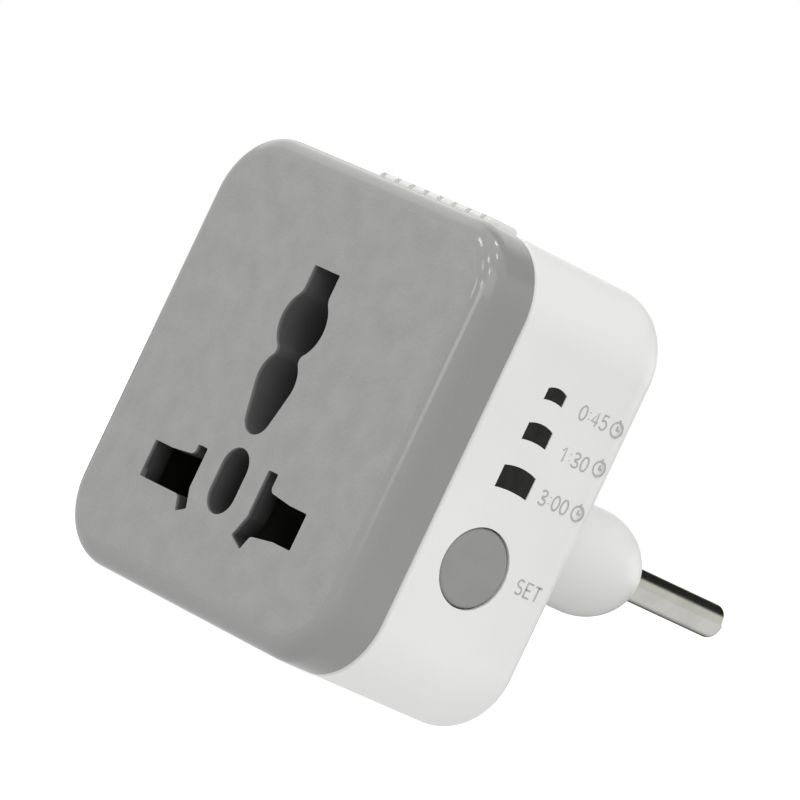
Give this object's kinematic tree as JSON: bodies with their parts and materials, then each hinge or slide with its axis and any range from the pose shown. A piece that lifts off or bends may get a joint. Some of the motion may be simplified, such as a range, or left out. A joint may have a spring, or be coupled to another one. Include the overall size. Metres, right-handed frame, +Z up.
{
  "type": "plug-in socket timer",
  "caption": "Cube-shaped plug-in adapter with a universal outlet in front, round plug pins behind, surge protection and a countdown timer set by a side button.",
  "frame": {"origin": "on the surface that the case stands on, under the middle of the length from face to pin tips", "axes": "+Y back along the plug pins, +X right as seen from the front, +Z up"},
  "size_m": [0.0512, 0.064, 0.0524],
  "materials": {
    "cover_grey": "satin moulded",
    "case_white": "satin moulded",
    "carrier_black": "moulded",
    "lens_dark": "polished",
    "button_grey": "satin moulded",
    "pin_nickel": "bright nickel",
    "contact_brass": "rolled strip",
    "screw_steel": "zinc plated",
    "board_green": "solder mask",
    "chip_black": "moulded",
    "relay_blue": "moulded",
    "switch_black": "moulded",
    "plunger_white": "moulded",
    "lamp_clear": "cast lens",
    "shroud_white": "moulded",
    "varistor_blue": "dipped coating",
    "fuse_white": "ceramic look",
    "film_yellow": "moulded box",
    "can_sleeve": "shrink sleeve",
    "wire_brown": "insulation",
    "wire_blue": "insulation",
    "cable_grey": "flat cable"
  },
  "bodies": {
    "case": {"front_cover": "cover_grey", "rear_housing": "case_white", "housing_screws": "screw_steel", "socket_insert": "carrier_black", "contact_retainer": "carrier_black", "live_contact": "contact_brass", "neutral_contact": "contact_brass", "live_pin": "pin_nickel", "neutral_pin": "pin_nickel", "pin_retainer": "case_white", "tact_switch_body": "switch_black", "light_shroud": "shroud_white", "indicator_leds": "lamp_clear", "timer_board": "board_green", "relay": "relay_blue", "controller_chip": "chip_black", "power_board": "board_green", "surge_varistor": "varistor_blue", "thermal_fuse": "fuse_white", "dropper_capacitor": "film_yellow", "smoothing_capacitor": "can_sleeve", "bridge_rectifier": "chip_black", "live_lead": "wire_brown", "surge_lead": "wire_blue", "switched_lead": "wire_brown", "neutral_lead": "wire_blue", "board_link": "cable_grey", "window_short": "lens_dark", "window_medium": "lens_dark", "window_long": "lens_dark"},
    "button": {"set_button": "button_grey"},
    "plunger": {"tact_switch_plunger": "plunger_white"}
  },
  "joints": [
    {"name": "set_button_press", "type": "slide", "parent": "case", "child": "button", "axis": [-1, 0, 0], "range_m": [0, 0.0005], "stiffness_N_per_m": 300, "springref_m": -0.001},
    {"name": "plunger_press", "type": "slide", "parent": "case", "child": "plunger", "axis": [-1, 0, 0], "range_m": [0, 0.0005]}
  ],
  "couplings": [
    {"joint": "plunger_press", "follows": "set_button_press", "ratio": 1}
  ]
}
